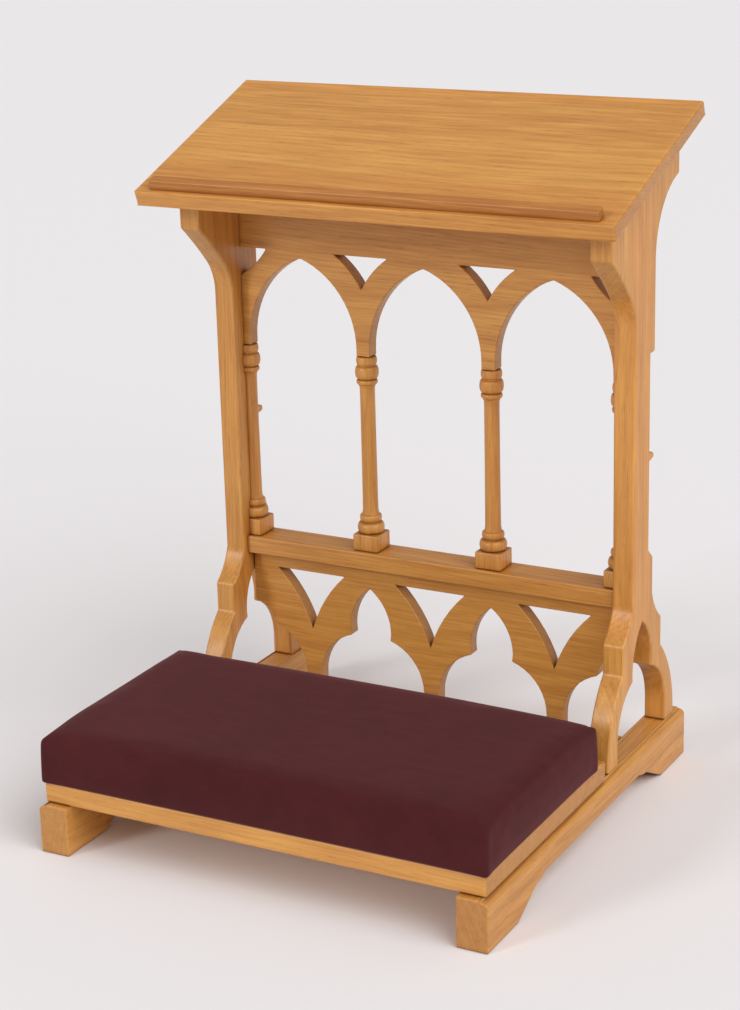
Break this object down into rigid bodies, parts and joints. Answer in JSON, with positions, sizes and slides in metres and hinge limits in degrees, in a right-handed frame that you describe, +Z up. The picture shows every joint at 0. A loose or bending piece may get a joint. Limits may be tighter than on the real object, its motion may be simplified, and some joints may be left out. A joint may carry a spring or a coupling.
{
  "type": "kneeling bench",
  "caption": "Gothic kneeling bench (prie-dieu) with a padded kneeler, turned columns, pointed arcades, flared side panels and a sloping book desk.",
  "frame": {"origin": "on the floor, under the middle of the bounding box", "axes": "+Z up; +X along the desk, to the right of a viewer who faces the kneeler; +Y from the kneeler towards the desk's raised back edge"},
  "size_m": [0.61, 0.576, 0.821],
  "materials": {
    "golden_oak": "golden oak under a satin lacquer, grain along each board",
    "burgundy_velvet": "short-pile burgundy velvet over a foam pad",
    "plywood": "unfinished birch plywood",
    "beech_dowels": "plain beech, glued",
    "zinc_screws": "bright zinc plate"
  },
  "bodies": {
    "root": {"arcade_dowel_left_1": "beech_dowels", "arcade_dowel_left_2": "beech_dowels", "arcade_dowel_right_1": "beech_dowels", "arcade_dowel_right_2": "beech_dowels", "book_ledge": "golden_oak", "column_left": "golden_oak", "column_right": "golden_oak", "cushion_base": "plywood", "cushion_pad": "burgundy_velvet", "cushion_screw_left_front": "zinc_screws", "cushion_screw_left_rear": "zinc_screws", "cushion_screw_right_front": "zinc_screws", "cushion_screw_right_rear": "zinc_screws", "desk_board": "golden_oak", "desk_cleat_left": "golden_oak", "desk_cleat_right": "golden_oak", "desk_screw_left_front": "zinc_screws", "desk_screw_left_rear": "zinc_screws", "desk_screw_right_front": "zinc_screws", "desk_screw_right_rear": "zinc_screws", "half_column_left": "golden_oak", "half_column_right": "golden_oak", "ledge_screw_left": "zinc_screws", "ledge_screw_middle": "zinc_screws", "ledge_screw_right": "zinc_screws", "leg_dowel_left_front_1": "beech_dowels", "leg_dowel_left_front_2": "beech_dowels", "leg_dowel_left_rear_1": "beech_dowels", "leg_dowel_left_rear_2": "beech_dowels", "leg_dowel_right_front_1": "beech_dowels", "leg_dowel_right_front_2": "beech_dowels", "leg_dowel_right_rear_1": "beech_dowels", "leg_dowel_right_rear_2": "beech_dowels", "lower_arcade": "golden_oak", "mid_rail": "golden_oak", "mid_rail_dowel_left_front": "beech_dowels", "mid_rail_dowel_left_rear": "beech_dowels", "mid_rail_dowel_right_front": "beech_dowels", "mid_rail_dowel_right_rear": "beech_dowels", "pier_dowel_left": "beech_dowels", "pier_dowel_middle": "beech_dowels", "pier_dowel_right": "beech_dowels", "platform_board": "golden_oak", "platform_screw_left_front": "zinc_screws", "platform_screw_left_rear": "zinc_screws", "platform_screw_right_front": "zinc_screws", "platform_screw_right_rear": "zinc_screws", "rear_stretcher": "golden_oak", "runner_left": "golden_oak", "runner_right": "golden_oak", "side_panel_left": "golden_oak", "side_panel_right": "golden_oak", "stretcher_dowel_left": "beech_dowels", "stretcher_dowel_right": "beech_dowels", "upper_arcade": "golden_oak"}
  },
  "joints": []
}
